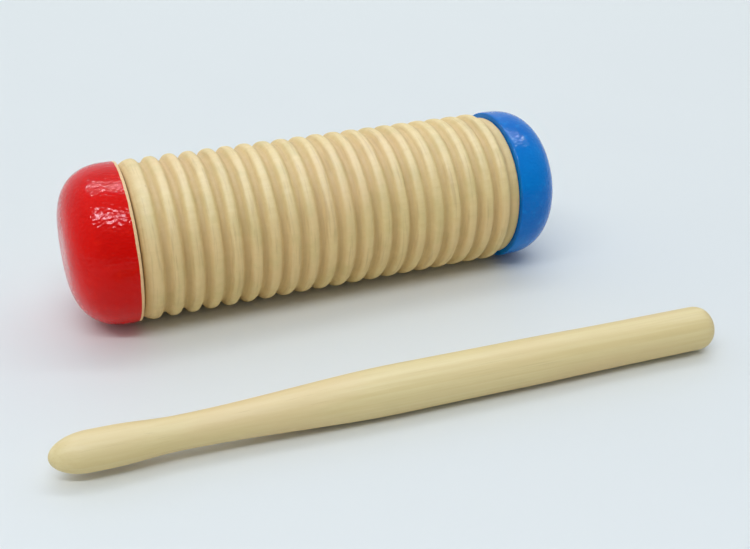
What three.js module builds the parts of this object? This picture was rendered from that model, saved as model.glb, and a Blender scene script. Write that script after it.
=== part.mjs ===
// A ribbed wooden scraper with a rattle inside: a bored barrel with turned ribs, a painted cap glued
// into each end, loose pellets shut in the bore, and a separate stick that is drawn across the ribs.
// Millimetres, +Z up. The barrel lies along X with its red cap at -X. The stick lies in front, at -Y.
import * as THREE from "three";

// Barrel: ribs with narrow flats on their crests and in the grooves, and eased flanks between them. The
// first rib rounds over to the red end without a groove, and a groove-deep neck is left between the last
// rib and the blue end. The wall is measured at the crests.
const crestDiameter = 50.4;
const ribCount = 20;
const ribPitch = 6.06;
const ribDepth = 1.75;
const crestFlat = 1.4;
const grooveFlat = 0.6;
const redEndLand = 1.2;
const redEndDrop = 1.3;
const blueEndNeck = 2.7;
const wallThickness = 7;

// End cap: a straight band as wide as the rib crests, a shoulder a little fuller than an ellipse, and a
// flat end, with a spigot that goes into the bore. The blue cap is a little shorter than the red one.
const redCapHeight = 19.4;
const blueCapHeight = 17.8;
const capBand = 3;
const capFlatDiameter = 12;
const capFullness = 2.4;
const capRimChamfer = 0.4;
const spigotLength = 10;
const spigotChamfer = 0.8;
const capSeam = 0.3;
const glueGap = 0.3;

// Pellets: rows along the lowest part of the bore, each row half a step from the next
const pelletDiameter = 4;
const pelletRows = 5;
const pelletsPerRow = 8;
const pelletGap = 0.35;
const pelletRestGap = 0.3;

// Stick: distances are from its tip, and it is round all along
const stickLength = 192.1;
const tipDiameter = 10.7;
const tipRounding = 10;
const tipEnd = 15;
const neckDiameter = 9.2;
const neckAt = 32;
const bellyDiameter = 13.6;
const bellyStart = 92;
const bellyEnd = 125;
const gripDiameter = 13.1;
const gripStart = 165;
const gripRounding = 5.8;
const gripFullness = 2.5;

// Where the stick lies: clear space beside the barrel, how far its middle is along the barrel, its turn
const stickClearSpace = 51.5;
const stickShift = -3.3;
const stickTurn = THREE.MathUtils.degToRad(-1.9);

// Facets. Every round is drawn with its flats tangent to the true circle and one flat downwards.
const barrelSides = 36;
const stickSides = 20;
const flankSteps = 3;
const shoulderSteps = 6;
const roundingSteps = 4;
const blendSteps = 5;

const crestRadius = crestDiameter / 2;
const grooveRadius = crestRadius - ribDepth;
const boreRadius = crestRadius - wallThickness;
const barrelLength = redEndLand + ribCount * ribPitch + blueEndNeck;
const capFlatRadius = capFlatDiameter / 2;
const spigotRadius = boreRadius - glueGap;
const pelletRadius = pelletDiameter / 2;
const bedRadius = boreRadius - pelletRadius - pelletRestGap;
const bellyRadius = bellyDiameter / 2;

const bareWood = { color: 0xd9bf8c, roughness: 0.55, metalness: 0 };
const redPaint = { color: 0xc4150c, roughness: 0.25, metalness: 0 };
const bluePaint = { color: 0x1459ad, roughness: 0.25, metalness: 0 };
const paleWood = { color: 0xe2cf9e, roughness: 0.5, metalness: 0 };
const pelletPlastic = { color: 0xcfc8b8, roughness: 0.6, metalness: 0 };

const point = (radius, along) => new THREE.Vector2(radius, along);

// A solid of revolution about X. The profile runs along +X on the outside of the solid.
function turned(profile, sides) {
  const halfFacet = Math.PI / sides;
  const tangent = profile.map((p) => point(p.x / Math.cos(halfFacet), p.y));
  return new THREE.LatheGeometry(tangent, sides, halfFacet).rotateZ(-Math.PI / 2);
}

// Quarter of an ellipse about (centreRadius, centreAlong), from startAngle to startAngle + 90 degrees.
// Angle 0 points along the radius and 90 degrees points along the axis. A fullness above 2 makes it squarer.
function quarterEllipse(centreRadius, centreAlong, radial, axial, startAngle, steps, fullness = 2) {
  const fuller = (value) => Math.sign(value) * Math.abs(value) ** (2 / fullness);
  return Array.from({ length: steps + 1 }, (_, i) => {
    const angle = startAngle + (i / steps) * (Math.PI / 2);
    const across = radial * fuller(Math.cos(angle));
    return point(centreRadius + across, centreAlong + axial * fuller(Math.sin(angle)));
  });
}

// A smooth change of radius between two places, level at both ends. The first point is left out.
function blend(from, to, steps) {
  return Array.from({ length: steps }, (_, i) => {
    const share = (i + 1) / steps;
    const eased = (1 - Math.cos(Math.PI * share)) / 2;
    return point(THREE.MathUtils.lerp(from.x, to.x, eased), THREE.MathUtils.lerp(from.y, to.y, share));
  });
}

function named(name, geometry, finish) {
  const mesh = new THREE.Mesh(geometry, new THREE.MeshStandardMaterial(finish));
  mesh.name = name;
  return mesh;
}

// One rib, from the middle of the groove before it: an eased flank, the crest and another eased flank.
function ribProfile(start) {
  const flank = (ribPitch - crestFlat - grooveFlat) / 2;
  const foot = point(grooveRadius, start + grooveFlat / 2);
  const crest = point(crestRadius, foot.y + flank);
  const crestFar = point(crestRadius, crest.y + crestFlat);
  const footFar = point(grooveRadius, crestFar.y + flank);
  return [foot, ...blend(foot, crest, flankSteps), crestFar, ...blend(crestFar, footFar, flankSteps)];
}

function ribbedBarrel() {
  const end = barrelLength / 2;
  const firstRib = redEndLand - end;
  const [crest, ...farSide] = ribProfile(firstRib).slice(flankSteps);
  const profile = [
    point(boreRadius, -end),
    ...quarterEllipse(crestRadius - redEndDrop, crest.y, redEndDrop, crest.y + end, -Math.PI / 2, flankSteps),
    ...farSide,
  ];
  for (let rib = 1; rib < ribCount; rib += 1) {
    profile.push(...ribProfile(firstRib + rib * ribPitch));
  }
  profile.push(point(grooveRadius, end), point(boreRadius, end), point(boreRadius, -end));
  return named("ribbed_barrel", turned(profile, barrelSides), bareWood);
}

// A cap is drawn with its rim at 0 and its flat end at its height along +X; the spigot reaches back.
function endCap(name, height, finish) {
  const across = crestRadius - capFlatRadius;
  const along = height - capBand;
  const profile = [
    point(0, -spigotLength),
    point(spigotRadius - spigotChamfer, -spigotLength),
    point(spigotRadius, spigotChamfer - spigotLength),
    point(spigotRadius, 0),
    point(crestRadius - capRimChamfer, 0),
    point(crestRadius, capRimChamfer),
    ...quarterEllipse(capFlatRadius, capBand, across, along, 0, shoulderSteps, capFullness),
    point(0, height),
  ];
  return named(name, turned(profile, barrelSides), finish);
}

function pellet(name, along, around) {
  const ball = named(name, new THREE.IcosahedronGeometry(pelletRadius, 1), pelletPlastic);
  ball.position.set(along, bedRadius * Math.sin(around), -bedRadius * Math.cos(around));
  return ball;
}

// The pellets lie nested: a row is as far round the bore as its pellets need to clear the next row's.
function pelletBed() {
  const bed = new THREE.Group();
  const spacing = pelletDiameter + pelletGap;
  const rowChord = spacing * Math.cos(Math.PI / 6);
  const rowAngle = 2 * Math.asin(rowChord / 2 / bedRadius);
  for (let row = 0; row < pelletRows; row += 1) {
    const stagger = row % 2 === 0 ? -0.25 : 0.25;
    for (let i = 0; i < pelletsPerRow; i += 1) {
      const number = String(row * pelletsPerRow + i + 1).padStart(2, "0");
      const along = (i + 0.5 + stagger - pelletsPerRow / 2) * spacing;
      bed.add(pellet(`pellet_${number}`, along, (row - (pelletRows - 1) / 2) * rowAngle));
    }
  }
  return bed;
}

// The stick has a small swelling at the tip, a slim neck, a thick belly and a slightly thinner grip with a
// blunt end.
function scraperStick() {
  const swelling = point(tipDiameter / 2, tipEnd);
  const neck = point(neckDiameter / 2, neckAt);
  const belly = point(bellyRadius, bellyStart);
  const bellyFar = point(bellyRadius, bellyEnd);
  const grip = point(gripDiameter / 2, gripStart);
  const gripEnd = stickLength - gripRounding;
  const profile = [
    ...quarterEllipse(0, tipRounding, swelling.x, tipRounding, -Math.PI / 2, roundingSteps),
    swelling,
    ...blend(swelling, neck, blendSteps),
    ...blend(neck, belly, blendSteps),
    bellyFar,
    ...blend(bellyFar, grip, blendSteps),
    ...quarterEllipse(0, gripEnd, grip.x, gripRounding, 0, roundingSteps, gripFullness),
  ];
  const stick = named("scraper_stick", turned(profile, stickSides), paleWood);
  stick.position.x = -stickLength / 2;
  return stick;
}

const redCap = endCap("red_end_cap", redCapHeight, redPaint);
redCap.rotation.z = Math.PI;
redCap.position.x = -barrelLength / 2 - capSeam;

const blueCap = endCap("blue_end_cap", blueCapHeight, bluePaint);
blueCap.position.x = barrelLength / 2 + capSeam;

const barrel = new THREE.Group();
barrel.add(ribbedBarrel(), redCap, blueCap, pelletBed());
barrel.position.z = crestRadius;

const stick = new THREE.Group();
stick.add(scraperStick());
stick.position.set(stickShift, -crestRadius - stickClearSpace - bellyRadius, bellyRadius);
stick.rotation.z = stickTurn;

// The origin is on the table, under the middle of the box around the barrel and the stick.
const scraper = new THREE.Group();
scraper.add(barrel, stick);
const box = new THREE.Box3().setFromObject(scraper, true);
const middle = box.getCenter(new THREE.Vector3());
scraper.position.set(-middle.x, -middle.y, -box.min.z);

export default scraper;
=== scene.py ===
"""A ribbed wooden scraper with a red and a blue end cap, and its loose stick, on a pale floor.

Every piece is made again here with a fine, slightly uneven surface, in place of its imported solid.
"""
import math
import random

import bpy
from mathutils import Matrix, Vector, noise


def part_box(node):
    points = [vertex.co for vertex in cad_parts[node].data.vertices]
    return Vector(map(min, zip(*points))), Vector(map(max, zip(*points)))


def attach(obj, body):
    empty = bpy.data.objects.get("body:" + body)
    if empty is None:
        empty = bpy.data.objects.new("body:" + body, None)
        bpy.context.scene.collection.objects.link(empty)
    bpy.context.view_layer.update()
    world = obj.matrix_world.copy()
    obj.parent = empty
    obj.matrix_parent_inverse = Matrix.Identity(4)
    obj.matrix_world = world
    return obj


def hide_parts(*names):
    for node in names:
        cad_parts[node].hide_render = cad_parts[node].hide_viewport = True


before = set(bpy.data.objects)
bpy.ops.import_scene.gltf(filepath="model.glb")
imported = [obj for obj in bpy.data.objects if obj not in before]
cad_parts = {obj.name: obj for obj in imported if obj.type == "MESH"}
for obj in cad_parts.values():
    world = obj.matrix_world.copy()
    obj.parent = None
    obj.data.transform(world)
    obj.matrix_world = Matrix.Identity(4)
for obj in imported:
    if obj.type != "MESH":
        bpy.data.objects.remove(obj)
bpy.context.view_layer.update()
MM = 0.001

# Sizes of the solids, in millimetres. The stick's distances are from its tip, and its widths are radii.
RIBS, PITCH, DEPTH = 20, 6.06, 1.75
RED_LAND, RED_DROP, WALL = 1.2, 1.3, 7.0
BAND, FLAT, FULLNESS = 3.0, 6.0, 2.4
SPIGOT, SPIGOT_CHAMFER, GLUE_GAP = 10.0, 0.8, 0.3
STICK = dict(length=192.1, tip=5.35, tip_round=10.0, tip_end=15.0, neck=4.6, neck_at=32.0, belly=6.8,
             belly_from=92.0, belly_to=125.0, grip=6.55, grip_from=165.0, grip_round=5.8,
             grip_full=2.5)
STICK_TURN = math.radians(-1.9)

# Ribs: how square they are and how much wider than the grooves, then their unevenness in millimetres
SQUARE, WIDER = 1.3, 0.3
GROOVE_STRAY, GROOVE_DEEPER, GROOVE_SHALLOWER = 0.13, 0.14, 0.1
CREST_SKIN, CREST_STRAY = 0.08, 0.04

# Ends of the barrel, as (distance from the end, drop) in millimetres: the crevice beside the red cap, with
# its drop from the foot of the first rib, and the eased blue end, with its drop from the neck
RED_FOOT = 0.3
RED_CREVICE = ((0.0, 1.3), (0.16, 0.75), (0.4, 0.15), (0.6, 0.0))
BLUE_EDGE = ((0.9, 0.0), (0.3, 0.0), (0.06, 0.08), (0.0, 0.3))

# Caps, in millimetres: bare wood at the red cap's rim; the step up to its paint, how far before and after
# the paint's edge it begins and ends, and what is left to rise there; the rounding of each rim; and how far
# the caps are sunk to leave room for unevenness
RED_BARE = 0.85
PAINT_STEP, PAINT_FROM, PAINT_TO, PAINT_EASE = 0.07, 0.12, 0.15, 0.01
RED_RIM, BLUE_RIM = 0.3, 0.45
CAP_SINK = 0.05

# How far inside their solids the caps and the stick are drawn before they are made uneven, the least that
# the uneven barrel stays inside its solid, and the beads' radius, in millimetres
SKIN = 0.05
BARREL_SKIN = 0.01
BEAD_RADIUS = 1.96

# Unevenness, as amount in mm, length in mm along the piece, lobes round it, and seed. Each cap adds a seed
# of its own.
BARREL_CRAWL = ((0.13, 30, 1.4, 1), (0.09, 4, 8, 2))
BARREL_RISE = ((0.05, 12, 2.2, 3), (0.035, 1.6, 20, 4))
STICK_RISE = ((0.05, 22, 1.2, 21), (0.02, 9, 3.5, 22))
CAP_RISE = ((0.05, 16, 1.6, 0), (0.015, 2.2, 11, 1))
RED_SEED, BLUE_SEED = 31, 41

# How finely things are drawn: sides round the piece, and steps along each part of a profile. Between its
# widths the stick has a ring about every STICK_RING millimetres.
BARREL_SIDES, CAP_SIDES, STICK_SIDES = 176, 128, 72
RIB_STEPS, RED_END_STEPS, BORE_STEPS = 22, 10, 8
RIM_STEPS, BAND_STEPS, SHOULDER_STEPS = 5, 4, 26
TIP_STEPS, GRIP_STEPS, BUTT_STEPS = 14, 9, 14
STICK_RING, LEAST_RINGS = 2.5, 6

# Edges that turn by more than this are drawn sharp.
SHARP = math.radians(50)

barrel_low, barrel_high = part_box("ribbed_barrel")
red_low, red_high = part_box("red_end_cap")
blue_low, blue_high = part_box("blue_end_cap")
stick_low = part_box("scraper_stick")[0]
AXIS = (barrel_low + barrel_high) / 2
RADIUS = (barrel_high.z - barrel_low.z) / 2 / MM
LENGTH = (barrel_high.x - barrel_low.x) / MM
BORE = RADIUS - WALL

# The view's own directions over the floor: to the right, away from the camera, and up
RIGHT = Vector((0.92355, -0.38347, 0.0))
AWAY = Vector((0.38347, 0.92355, 0.0))
UP = Vector((0.0, 0.0, 1.0))


# Shapes

def solid(name, verts, faces, place):
    """A smooth mesh put in its place. Its own coordinates stay on it as "local" for its material."""
    mesh = bpy.data.meshes.new(name)
    mesh.from_pydata(verts, [], faces)
    mesh.polygons.foreach_set("use_smooth", [True] * len(mesh.polygons))
    mesh.set_sharp_from_angle(angle=SHARP)
    local = mesh.attributes.new("local", "FLOAT_VECTOR", "POINT")
    local.data.foreach_set("vector", [c for v in verts for c in v])
    mesh.transform(place)
    return mesh


def turned(name, place, profile, sides, shift, loop=False):
    """A mesh turned about local X from (along, radius) points in mm.

    shift(along, radius, angle) gives small offsets along and outwards. A loop's last ring joins its first.
    """
    verts, rings, faces = [], [], []
    for along, radius in profile:
        if radius == 0:
            rings.append([len(verts)] * sides)
            verts.append((along * MM, 0, 0))
            continue
        rings.append(list(range(len(verts), len(verts) + sides)))
        for j in range(sides):
            angle = 2 * math.pi * j / sides
            crawl, rise = shift(along, radius, angle)
            r = (radius + rise) * MM
            verts.append(((along + crawl) * MM, r * math.cos(angle), r * math.sin(angle)))
    pairs = list(zip(rings, rings[1:]))
    if loop:
        pairs.append((rings[-1], rings[0]))
    for near, far in pairs:
        for j in range(sides):
            k = (j + 1) % sides
            quad = [near[j], near[k], far[k], far[j]]
            faces.append([v for i, v in enumerate(quad) if v not in quad[:i]])
    return solid(name, verts, faces, place)


def wander(along, angle, length, around, seed):
    """Smooth noise, -1 to 1, on a turned surface: length in mm along it, around in lobes round it."""
    seed_spacing = 7.3
    x = along / length + seed * seed_spacing
    y = around * math.cos(angle) + seed
    z = around * math.sin(angle)
    return noise.noise(Vector((x, y, z)))


def uneven(terms, along, angle, own_seed=0):
    return sum(amount * wander(along, angle, length, around, own_seed + seed)
               for amount, length, around, seed in terms)


def fade_at_ends(along, length, start, end):
    """0 at both ends of a piece, rising to 1 over so many millimetres from its start and to its end."""
    return max(0, min(1, along / start, (length - along) / end))


def rib(share):
    """Height of a rib, 0 to 1, over one pitch from -0.5 to 0.5.

    Its crest is broader, its groove narrower and its flanks steeper than a cosine's.
    """
    def squarer(level):
        return math.tanh(SQUARE * (level + WIDER))
    low, high = squarer(-1), squarer(1)
    return (squarer(math.cos(2 * math.pi * share)) - low) / (high - low)


def barrel_profile():
    """Up the red end, along the ribs, down the blue end and back through the bore."""
    rng = random.Random(11)
    groove_at = [RED_LAND + k * PITCH + rng.uniform(-GROOVE_STRAY, GROOVE_STRAY) for k in range(RIBS + 1)]
    groove_r = [RADIUS - DEPTH + rng.uniform(-GROOVE_DEEPER, GROOVE_SHALLOWER) for k in range(RIBS + 1)]
    crest_r = [RADIUS - CREST_SKIN + rng.uniform(-CREST_STRAY, CREST_STRAY) for k in range(RIBS)]
    # The first rib rounds over to the red end without a groove.
    foot_r = crest_r[0] - RED_DROP - RED_FOOT
    foot_at = RED_CREVICE[-1][0]
    crest_at = (groove_at[0] + groove_at[1]) / 2
    out = [(0.0, BORE)]
    out += [(along, foot_r - drop) for along, drop in RED_CREVICE]
    for i in range(1, RED_END_STEPS):
        a = math.pi / 2 * i / RED_END_STEPS
        along = foot_at + (crest_at - foot_at) * i / RED_END_STEPS
        out.append((along, foot_r + (crest_r[0] - foot_r) * math.sin(a)))
    for k in range(RIBS):
        wide = groove_at[k + 1] - groove_at[k]
        for i in range(RIB_STEPS // 2 if k == 0 else 1, RIB_STEPS + 1):
            share = i / RIB_STEPS - 0.5
            low = groove_r[k] if share < 0 else groove_r[k + 1]
            out.append((groove_at[k] + wide * (share + 0.5), low + (crest_r[k] - low) * rib(share)))
    out += [(LENGTH - back, groove_r[-1] - drop) for back, drop in BLUE_EDGE]
    out += [(LENGTH * (1 - i / BORE_STEPS), BORE) for i in range(BORE_STEPS)]
    return out


def barrel_shift(along, radius, angle):
    near_bore = BORE + 1
    if radius < near_bore:
        return 0, 0
    room = RADIUS - BARREL_SKIN - radius
    crawl = uneven(BARREL_CRAWL, along, angle) * fade_at_ends(along, LENGTH, start=3, end=3)
    return crawl, min(uneven(BARREL_RISE, along, angle), room)


def cap_profile(height, bare, rim):
    """From the spigot's end to the flat end; bare is the width of bare wood, rim is the rim's rounding."""
    spigot = BORE - GLUE_GAP
    spigot_ring = 9.0
    skin = RADIUS - SKIN
    step = PAINT_STEP if bare else 0.0
    out = [(-SPIGOT, 0.0), (-SPIGOT, spigot_ring), (-SPIGOT, spigot - SPIGOT_CHAMFER)]
    out += [(SPIGOT_CHAMFER - SPIGOT, spigot), (-SPIGOT / 2, spigot), (0.0, spigot)]
    out.append((0.0, (spigot + skin) / 2))
    for i in range(RIM_STEPS + 1):
        a = math.pi / 2 * i / RIM_STEPS
        out.append((rim * (1 - math.cos(a)), skin - step - rim * (1 - math.sin(a))))
    if bare:
        out += [(bare - PAINT_FROM, skin - step), (bare, skin - step * 0.5)]
        out.append((bare + PAINT_TO, skin - PAINT_EASE))
    start = max(bare + PAINT_TO, rim)
    out += [(start + (BAND - start) * i / BAND_STEPS, skin) for i in range(1, BAND_STEPS)]
    top = height - SKIN
    for i in range(SHOULDER_STEPS + 1):
        a = math.pi / 2 * i / SHOULDER_STEPS
        along = math.sin(a) ** (2 / FULLNESS)
        across = max(0, math.cos(a)) ** (2 / FULLNESS)
        out.append((BAND + (top - BAND) * along, FLAT + (skin - FLAT) * across))
    flat_rings = (0.6, 0.25, 0.0)
    return out + [(top, FLAT * share) for share in flat_rings]


def cap_shift(seed):
    rim_face = 0.05
    flat_edge = FLAT + 0.1

    def shift(along, radius, angle):
        if along < rim_face or radius < flat_edge:
            return 0, 0
        return 0, uneven(CAP_RISE, along, angle, seed) - CAP_SINK
    return shift


def stick_profile():
    s = STICK
    out = []
    for i in range(TIP_STEPS + 1):
        a = math.pi / 2 * i / TIP_STEPS
        out.append((s["tip_round"] * (1 - math.cos(a)), (s["tip"] - SKIN) * math.sin(a)))
    stations = [(s["tip_end"], s["tip"]), (s["neck_at"], s["neck"]), (s["belly_from"], s["belly"]),
                (s["belly_to"], s["belly"]), (s["grip_from"], s["grip"])]
    out.append((s["tip_end"], s["tip"] - SKIN))
    for (x0, r0), (x1, r1) in zip(stations, stations[1:]):
        steps = max(LEAST_RINGS, round((x1 - x0) / STICK_RING))
        for i in range(1, steps + 1):
            t = i / steps
            out.append((x0 + (x1 - x0) * t, r0 + (r1 - r0) * (1 - math.cos(math.pi * t)) / 2 - SKIN))
    butt_at = s["length"] - s["grip_round"]
    straight = butt_at - s["grip_from"]
    out += [(s["grip_from"] + straight * i / GRIP_STEPS, s["grip"] - SKIN) for i in range(1, GRIP_STEPS)]
    for i in range(BUTT_STEPS):
        a = math.pi / 2 * i / BUTT_STEPS
        along = math.sin(a) ** (2 / s["grip_full"])
        across = math.cos(a) ** (2 / s["grip_full"])
        out.append((butt_at + (s["grip_round"] - SKIN) * along, (s["grip"] - SKIN) * across))
    return out + [(s["length"] - SKIN, 0.0)]


def stick_shift(along, radius, angle):
    fade = fade_at_ends(along, STICK["length"], start=8, end=6)
    return 0, fade * min(SKIN, uneven(STICK_RISE, along, angle))


def bead_mesh(rows=14, columns=24):
    """A small moulded bead with a parting line and a few dents."""
    dent, dents_across, parting_line = 0.02, 2.3, 0.03
    verts, faces = [(0, 0, -BEAD_RADIUS * MM)], []
    for i in range(1, rows):
        for j in range(columns):
            lat = math.pi * (i / rows - 0.5)
            lon = 2 * math.pi * j / columns
            d = Vector((math.cos(lat) * math.cos(lon), math.cos(lat) * math.sin(lon), math.sin(lat)))
            r = BEAD_RADIUS * (1 - dent * abs(noise.noise(d * dents_across)))
            r += parting_line if i == rows // 2 else 0
            verts.append(tuple(d * r * MM))
    verts.append((0, 0, BEAD_RADIUS * MM))
    last = 1 + (rows - 2) * columns
    for j in range(columns):
        k = (j + 1) % columns
        faces += [(0, 1 + k, 1 + j), (last + j, last + k, len(verts) - 1)]
        for a in range(1, last, columns):
            faces.append((a + j, a + k, a + columns + k, a + columns + j))
    return solid("bead", verts, faces, Matrix())


# Materials

class Shader:
    """A material's node tree, built by short calls."""

    def __init__(self, name):
        self.material = bpy.data.materials.new(name)
        self.material.use_nodes = True
        self.tree = self.material.node_tree
        self.surface = self.tree.nodes["Principled BSDF"]
        self.place = self.add("ShaderNodeAttribute", {"attribute_name": "local"}).outputs["Vector"]

    def put(self, socket, value):
        if isinstance(value, bpy.types.NodeSocket):
            self.tree.links.new(value, socket)
        else:
            socket.default_value = value

    def add(self, kind, settings=None, **inputs):
        node = self.tree.nodes.new(kind)
        for key, value in (settings or {}).items():
            setattr(node, key, value)
        for key, value in inputs.items():
            self.put(node.inputs[key.replace("_", " ")], value)
        return node

    def set(self, **inputs):
        for key, value in inputs.items():
            self.put(self.surface.inputs[key.replace("_", " ")], value)

    def noise(self, stretch, detail=3.0, roughness=0.55, offset=(0, 0, 0)):
        """Noise with this many features per metre along x, y and z."""
        spot = self.add("ShaderNodeMapping", Vector=self.place, Scale=stretch, Location=offset)
        return self.add("ShaderNodeTexNoise", Vector=spot.outputs[0], Scale=1.0, Detail=detail,
                        Roughness=roughness).outputs["Fac"]

    def ramp(self, value, low, high, to_low=0.0, to_high=1.0, smooth=True):
        kind = "SMOOTHSTEP" if smooth else "LINEAR"
        node = self.add("ShaderNodeMapRange", {"interpolation_type": kind})
        self.put(node.inputs["Value"], value)
        self.put(node.inputs["From Min"], low)
        self.put(node.inputs["From Max"], high)
        self.put(node.inputs["To Min"], to_low)
        self.put(node.inputs["To Max"], to_high)
        return node.outputs[0]

    def math(self, operation, a, b=0.0):
        node = self.add("ShaderNodeMath", {"operation": operation})
        self.put(node.inputs[0], a)
        self.put(node.inputs[1], b)
        return node.outputs[0]

    def times(self, a, b):
        return self.math("MULTIPLY", a, b)

    def mix(self, factor, a, b):
        node = self.add("ShaderNodeMix", {"data_type": "RGBA"})
        for index, value in ((0, factor), (6, a), (7, b)):
            self.put(node.inputs[index], value)
        return node.outputs[2]

    def spots(self, per_metre, share, size, channel):
        """Rare round spots, 0 to 1, in cells of this many per metre.

        A share of the cells has one, size of a cell wide. Another channel picks other cells.
        """
        cells = self.add("ShaderNodeTexVoronoi", {"feature": "F1"}, Vector=self.place, Scale=per_metre)
        pick = self.add("ShaderNodeSeparateColor", Color=cells.outputs["Color"]).outputs[channel]
        near = self.ramp(cells.outputs["Distance"], size * 0.2, size, 1.0, 0.0)
        return self.times(self.ramp(pick, 1 - share, 1.01 - share), near)

    def along(self):
        """Distance along the piece's own turning axis, in metres."""
        return self.add("ShaderNodeSeparateXYZ", Vector=self.place).outputs[0]

    def from_axis(self):
        """Distance from the piece's own turning axis, in mm."""
        flat = self.add("ShaderNodeVectorMath", {"operation": "MULTIPLY"})
        self.put(flat.inputs[0], self.place)
        flat.inputs[1].default_value = (0, 1 / MM, 1 / MM)
        size = self.add("ShaderNodeVectorMath", {"operation": "LENGTH"})
        self.put(size.inputs[0], flat.outputs[0])
        return size.outputs["Value"]

    def bump(self, height, strength, distance):
        return self.add("ShaderNodeBump", Height=height, Strength=strength, Distance=distance).outputs[0]


def colour(r, g, b):
    """An sRGB colour, 0 to 255, as a linear one."""
    def one(c):
        c /= 255
        return c / 12.92 if c <= 0.04045 else ((c + 0.055) / 1.055) ** 2.4
    return one(r), one(g), one(b), 1.0


# Colours of the woods, the paints, the beads and the floor, and of the painted shade and highlight
BARREL_WOOD = dict(light=colour(237, 210, 144), dark=colour(231, 202, 135), warm=colour(237, 202, 141))
BARREL_BLOTCH = colour(216, 194, 126)
TOOL_MARK = colour(184, 148, 90)
# Painted shade in the flanks and grooves
FLANK_PAINTED_SHADE = colour(188, 148, 82)
# A thin line of painted shade along each groove's floor
GROOVE_SHADE_LINE = colour(140, 102, 52)
PORE = colour(160, 112, 56)
# Painted shade in the crevice beside the red cap
SEAM_PAINTED_SHADE = colour(84, 60, 34)
STICK_WOOD = dict(light=colour(234, 214, 158), dark=colour(227, 204, 145), warm=colour(231, 202, 149))
STICK_BUTT = colour(204, 172, 126)
FLECK = colour(140, 108, 62)
RED_PAINT = dict(main=colour(228, 11, 1), deep=colour(216, 8, 1), bright=colour(236, 30, 8))
BLUE_PAINT = dict(main=colour(2, 126, 210), deep=colour(2, 112, 200), bright=colour(18, 156, 230))
# The red cap's bare rim: its own wood, made paler than the barrel's partly as a painted highlight
RIM_LIGHT, RIM_DARK = colour(250, 214, 160), colour(238, 194, 140)
SPIGOT_WOOD = colour(190, 160, 112)
BEAD_LIGHT, BEAD_DARK, BEAD_SPECK = colour(214, 207, 192), colour(200, 190, 172), colour(150, 138, 118)
FLOOR_LIGHT, FLOOR_DARK, FLOOR_FAR = colour(228, 230, 226), colour(225, 227, 224), colour(239, 241, 236)

# Where each piece is cut from the noise that makes its grain, blotches or orange peel
BARREL_CUT = (0.3, 0.1, 0.7)
BLOTCH_CUT = (1.3, 0.4, 0.2)
STICK_CUT = (2.1, 0.6, 0.2)
RED_CUT = (1.7, 0.9, 2.3)
BLUE_CUT = (0.7, 0.2, 0.9)


def wood_colour(s, wood, streak, fleck, offset):
    """Patches, faint streaks along the piece and short dark flecks; the streaks are given back too."""
    patch = s.noise((22, 55, 55), 2.0, 0.5, offset)
    lines = s.noise((streak, 620, 620), 4.0, 0.6, offset)
    fine = s.noise((streak * 3, 2300, 2300), 2.0, 0.5, offset)
    base = s.mix(s.ramp(lines, 0.3, 0.72), wood["light"], wood["dark"])
    base = s.mix(s.ramp(patch, 0.4, 0.66, to_high=0.6), base, wood["warm"])
    return s.mix(s.ramp(fine, 0.62, 0.76, to_high=fleck), base, FLECK), lines


def wood_grain(s, lines, ripple):
    """Height of the wood's surface for its bump."""
    return s.math("ADD", s.times(lines, 0.15), s.times(ripple, 0.85))


def barrel_wood():
    s = Shader("turned_bare_wood")
    along = s.along()
    from_axis = s.from_axis()
    groove = RADIUS - DEPTH
    base, lines = wood_colour(s, BARREL_WOOD, streak=30, fleck=0.08, offset=BARREL_CUT)
    blotch = s.noise((110, 90, 90), 3.0, 0.6, BLOTCH_CUT)
    base = s.mix(s.ramp(blotch, 0.45, 0.7, to_high=0.55), base, BARREL_BLOTCH)
    # Marks of the turning tool run round the barrel.
    marks = s.noise((1000, 70, 70), 3.0, 0.6, BARREL_CUT)
    base = s.mix(s.ramp(marks, 0.5, 0.72, to_high=0.35), base, TOOL_MARK)
    # Painted shade: the flanks and grooves are darkened towards the groove floors, but the neck at the blue
    # end less.
    deep = s.ramp(from_axis, groove - 0.1, RADIUS - 0.15, 0.45, 0.0, smooth=False)
    ribs_end = s.ramp(along, (LENGTH - 3.4) * MM, (LENGTH - 1.8) * MM, 1.0, 0.3)
    base = s.mix(s.times(deep, ribs_end), base, FLANK_PAINTED_SHADE)
    # A thin line of painted shade along the floor of each groove.
    line = s.ramp(from_axis, groove, groove + 0.4, 0.14, 0.0)
    base = s.mix(s.times(line, ribs_end), base, GROOVE_SHADE_LINE)
    pores = s.spots(190.0, share=0.04, size=0.09, channel=0)
    base = s.mix(s.times(pores, 0.3), base, PORE)
    # Painted shade: the crevice beside the red cap is painted dark.
    base = s.mix(s.ramp(along, 0.2 * MM, 0.5 * MM, 0.55, 0.0), base, SEAM_PAINTED_SHADE)
    ripple = s.noise((420, 640, 640), 2.0, 0.5, BARREL_CUT)
    rougher_cut = s.ramp(from_axis, RADIUS - 1.2, RADIUS - 0.3, 0.15, 0.0)
    rough = s.math("ADD", s.ramp(ripple, 0.3, 0.7, 0.6, 0.7), rougher_cut)
    grain = wood_grain(s, lines, ripple)
    s.set(Base_Color=base, Roughness=rough, Specular_IOR_Level=0.8,
          Normal=s.bump(grain, strength=0.5, distance=0.0003))
    return s.material


def stick_wood():
    s = Shader("turned_pale_wood")
    base, lines = wood_colour(s, STICK_WOOD, streak=9, fleck=0.1, offset=STICK_CUT)
    butt = s.ramp(s.along(), (STICK["length"] - 5) * MM, STICK["length"] * MM, to_high=0.35)
    base = s.mix(butt, base, STICK_BUTT)
    ripple = s.noise((70, 420, 420), 2.0, 0.5, STICK_CUT)
    rough = s.ramp(ripple, 0.3, 0.7, 0.46, 0.56)
    grain = wood_grain(s, lines, ripple)
    s.set(Base_Color=base, Roughness=rough, Specular_IOR_Level=0.3,
          Normal=s.bump(grain, strength=0.5, distance=0.0004))
    return s.material


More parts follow.
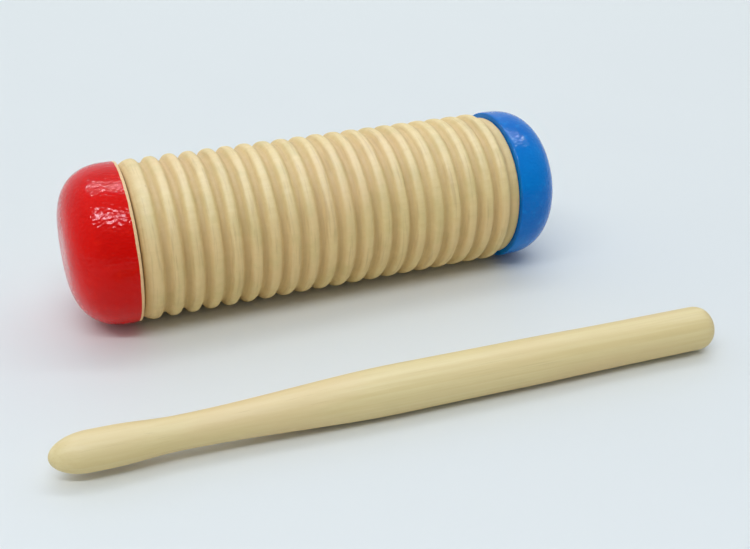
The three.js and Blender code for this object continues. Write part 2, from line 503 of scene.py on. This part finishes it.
def enamel(name, paint, bare, offset):
    """Gloss paint over wood, with orange peel, slow drift of colour and, if bare is above 0, a bare rim."""
    s = Shader(name)
    along = s.along()
    drift = s.noise((60, 60, 60), 2.0, 0.5, offset)
    base = s.mix(s.ramp(drift, 0.35, 0.65), paint["main"], paint["deep"])
    mottle = s.noise((420, 420, 420), 2.0, 0.5, offset)
    base = s.mix(s.ramp(mottle, 0.55, 0.75, to_high=0.3), base, paint["bright"])
    rough = s.ramp(mottle, 0.3, 0.7, 0.11, 0.16)
    peel = s.noise((850, 1150, 1150), 0.0, 0.5, offset)
    laps = s.noise((300, 480, 480), 2.0, 0.5, offset)
    dust = s.spots(300.0, share=0.05, size=0.13, channel=1)
    height = s.math("ADD", s.times(peel, 0.8), s.times(laps, 0.2))
    height = s.math("ADD", height, s.times(dust, 0.5))
    if bare:
        # The bare wood at the rim is paler than the barrel's wood: partly its own tone, partly a painted
        # highlight along the edge.
        ragged = s.times(s.noise((90, 130, 130), 3.0, 0.6, offset), 0.7 * MM)
        edge = s.math("ADD", along, ragged)
        wood_mask = s.ramp(edge, (bare + 0.3) * MM, (bare + 0.42) * MM, 1.0, 0.0)
        bare_rim_and_highlight = s.mix(s.noise((50, 800, 800)), RIM_LIGHT, RIM_DARK)
        base = s.mix(wood_mask, base, bare_rim_and_highlight)
        rough = s.math("MAXIMUM", rough, s.times(wood_mask, 0.5))
    # The spigot is bare wood.
    inside = s.ramp(s.from_axis(), BORE - 0.1, BORE + 0.3, 1.0, 0.0)
    behind = s.ramp(along, 0.0, 0.3 * MM, 1.0, 0.0)
    base = s.mix(s.times(inside, behind), base, SPIGOT_WOOD)
    s.set(Base_Color=base, Roughness=rough, Specular_IOR_Level=0.16,
          Normal=s.bump(height, strength=0.6, distance=0.00028))
    return s.material


def bead_plastic():
    s = Shader("moulded_bead")
    speck = s.noise((2600, 2600, 2600))
    cloud = s.noise((500, 500, 500), 2.0)
    base = s.mix(s.ramp(cloud, 0.35, 0.65), BEAD_LIGHT, BEAD_DARK)
    base = s.mix(s.ramp(speck, 0.62, 0.72, to_high=0.5), base, BEAD_SPECK)
    s.set(Base_Color=base, Roughness=s.ramp(cloud, 0.3, 0.7, 0.5, 0.65),
          Normal=s.bump(speck, strength=0.2, distance=0.00005))
    return s.material


def floor_sheet():
    """A warm white sheet, a little paler far behind the barrel."""
    s = Shader("pale_floor")
    cloud = s.noise((3, 3, 3), 2.0)
    base = s.mix(s.ramp(cloud, 0.3, 0.7), FLOOR_LIGHT, FLOOR_DARK)
    far = s.add("ShaderNodeVectorMath", {"operation": "DOT_PRODUCT"})
    s.put(far.inputs[0], s.place)
    far.inputs[1].default_value = AWAY
    base = s.mix(s.ramp(far.outputs["Value"], 0.08, 0.46, smooth=False), base, FLOOR_FAR)
    s.set(Base_Color=base, Roughness=0.5, Specular_IOR_Level=0.3)
    return s.material


# The pieces

def show(name, data):
    piece = bpy.data.objects.new(name, data)
    bpy.context.scene.collection.objects.link(piece)
    return piece


def dress(mesh, material, body, node):
    mesh.materials.append(material)
    piece = show(mesh.name, mesh)
    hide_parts(node)
    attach(piece, body)


def at(x, y=AXIS.y, z=AXIS.z):
    return Matrix.Translation(Vector((x, y, z)))


barrel = turned("barrel_turned", at(barrel_low.x), barrel_profile(), BARREL_SIDES, barrel_shift, loop=True)
dress(barrel, barrel_wood(), "barrel", "ribbed_barrel")

red_height = (red_high.x - red_low.x) / MM - SPIGOT
red_profile = cap_profile(red_height, RED_BARE, RED_RIM)
red_place = at(red_high.x - SPIGOT * MM) @ Matrix.Rotation(math.pi, 4, "Z")
red_cap = turned("red_cap_turned", red_place, red_profile, CAP_SIDES, cap_shift(RED_SEED))
red_enamel = enamel("red_enamel", RED_PAINT, RED_BARE, RED_CUT)
dress(red_cap, red_enamel, "barrel", "red_end_cap")

blue_height = (blue_high.x - blue_low.x) / MM - SPIGOT
blue_profile = cap_profile(blue_height, 0.0, BLUE_RIM)
blue_place = at(blue_low.x + SPIGOT * MM)
blue_cap = turned("blue_cap_turned", blue_place, blue_profile, CAP_SIDES, cap_shift(BLUE_SEED))
blue_enamel = enamel("blue_enamel", BLUE_PAINT, 0.0, BLUE_CUT)
dress(blue_cap, blue_enamel, "barrel", "blue_end_cap")

# The stick's tip is at the low x of its box. The box's low y comes from the belly's end nearer the grip or
# from the grip, whichever reaches further.
belly_reach = STICK["belly_to"] * math.sin(STICK_TURN) - STICK["belly"] * math.cos(STICK_TURN)
grip_reach = (STICK["length"] - STICK["grip_round"]) * math.sin(STICK_TURN) - STICK["grip"]
tip_y = stick_low.y - min(belly_reach, grip_reach) * MM
stick_place = at(stick_low.x, tip_y, STICK["belly"] * MM) @ Matrix.Rotation(STICK_TURN, 4, "Z")
stick = turned("stick_turned", stick_place, stick_profile(), STICK_SIDES, stick_shift)
dress(stick, stick_wood(), "stick", "scraper_stick")

bead = bead_mesh()
bead.materials.append(bead_plastic())
turns = random.Random(5)
whole_turn = 6.28
for node in sorted(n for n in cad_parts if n.startswith("pellet_")):
    piece = show(node.replace("pellet", "bead"), bead)
    roll = Matrix.Rotation(turns.uniform(0, whole_turn), 4, "X")
    spin = Matrix.Rotation(turns.uniform(0, whole_turn), 4, "Z")
    low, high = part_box(node)
    piece.matrix_world = Matrix.Translation((low + high) / 2) @ (roll @ spin)
    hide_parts(node)
    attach(piece, "fill")


# Floor, light and camera

# Half the floor's width, in metres
FLOOR_HALF = 4
corners = [(-FLOOR_HALF, -FLOOR_HALF, 0), (FLOOR_HALF, -FLOOR_HALF, 0),
           (FLOOR_HALF, FLOOR_HALF, 0), (-FLOOR_HALF, FLOOR_HALF, 0)]
sheet = solid("floor", corners, [(0, 1, 2, 3)], Matrix())
sheet.materials.append(floor_sheet())
floor = show("floor", sheet)

LAMP_TINT = (0.94, 1.0, 1.07)


def strip(name, aside, behind, watts, gleam=False, height=1.5, length=1.8, width=0.05):
    """A long strip light across the view, its middle so far aside and behind for each metre of height.

    One that gleams is seen only in glossy surfaces.
    """
    light = bpy.data.lights.new(name, "AREA")
    light.shape = "RECTANGLE"
    light.size = length
    light.size_y = width
    light.energy = watts
    light.color = LAMP_TINT
    lamp = show(name, light)
    lamp.visible_diffuse = not gleam
    offset = (RIGHT * aside + AWAY * behind + UP) * height
    facing = (AWAY * behind + UP).normalized()
    turn = Matrix((RIGHT, facing.cross(RIGHT), facing)).transposed()
    lamp.matrix_world = Matrix.Translation(AXIS + offset) @ turn.to_4x4()


strip("strip_behind", aside=0.3, behind=0.32, watts=3.8)
strip("strip_in_front", aside=-0.15, behind=-0.57, watts=12.0)
strip("gleam_behind", aside=-0.02, behind=0.32, watts=36.0, gleam=True, length=2.2, width=0.03)
strip("gleam_in_front", aside=-0.2, behind=-0.57, watts=32.0, gleam=True, width=0.03)

# The room is brighter overhead and behind, and darker behind the camera, but nowhere quite dark.
ROOM_LEVEL, ROOM_LEAST = 0.46, 0.05
ROOM_SLOPE = (-0.06, 0.3, 0.22)
ROOM_TINT = (0.92, 0.99, 1.08, 1)
world = bpy.data.worlds.new("soft_room")
bpy.context.scene.world = world
world.use_nodes = True
tree = world.node_tree
back = tree.nodes["Background"]
back.inputs["Color"].default_value = ROOM_TINT
slope = tree.nodes.new("ShaderNodeVectorMath")
slope.operation = "DOT_PRODUCT"
slope.inputs[1].default_value = ROOM_SLOPE
direction = tree.nodes.new("ShaderNodeTexCoord")
tree.links.new(direction.outputs["Generated"], slope.inputs[0])
level = tree.nodes.new("ShaderNodeMath")
level.operation = "ADD"
level.inputs[1].default_value = ROOM_LEVEL
tree.links.new(slope.outputs["Value"], level.inputs[0])
least = tree.nodes.new("ShaderNodeMath")
least.operation = "MAXIMUM"
least.inputs[1].default_value = ROOM_LEAST
tree.links.new(level.outputs[0], least.inputs[0])
tree.links.new(least.outputs[0], back.inputs["Strength"])

# The camera: its lens and sensor in millimetres, how far it looks down, and its place, in metres from the
# barrel's red end, from the barrel's axis and above the floor
LENS, SENSOR = 51.867, 36.0
TILT = math.asin(0.43974)
FROM_RED_END, FROM_AXIS, ABOVE_FLOOR = -0.046197, -0.311081, 0.163098
camera_data = bpy.data.cameras.new("camera")
camera_data.sensor_fit = "HORIZONTAL"
camera_data.sensor_width = SENSOR
camera_data.lens = LENS
camera = show("camera", camera_data)
forward = AWAY * math.cos(TILT) - UP * math.sin(TILT)
turn = Matrix((RIGHT, RIGHT.cross(forward), -forward)).transposed()
camera.matrix_world = at(barrel_low.x + FROM_RED_END, AXIS.y + FROM_AXIS, ABOVE_FLOOR) @ turn.to_4x4()
bpy.context.scene.camera = camera
bpy.context.scene.view_settings.view_transform = "Standard"
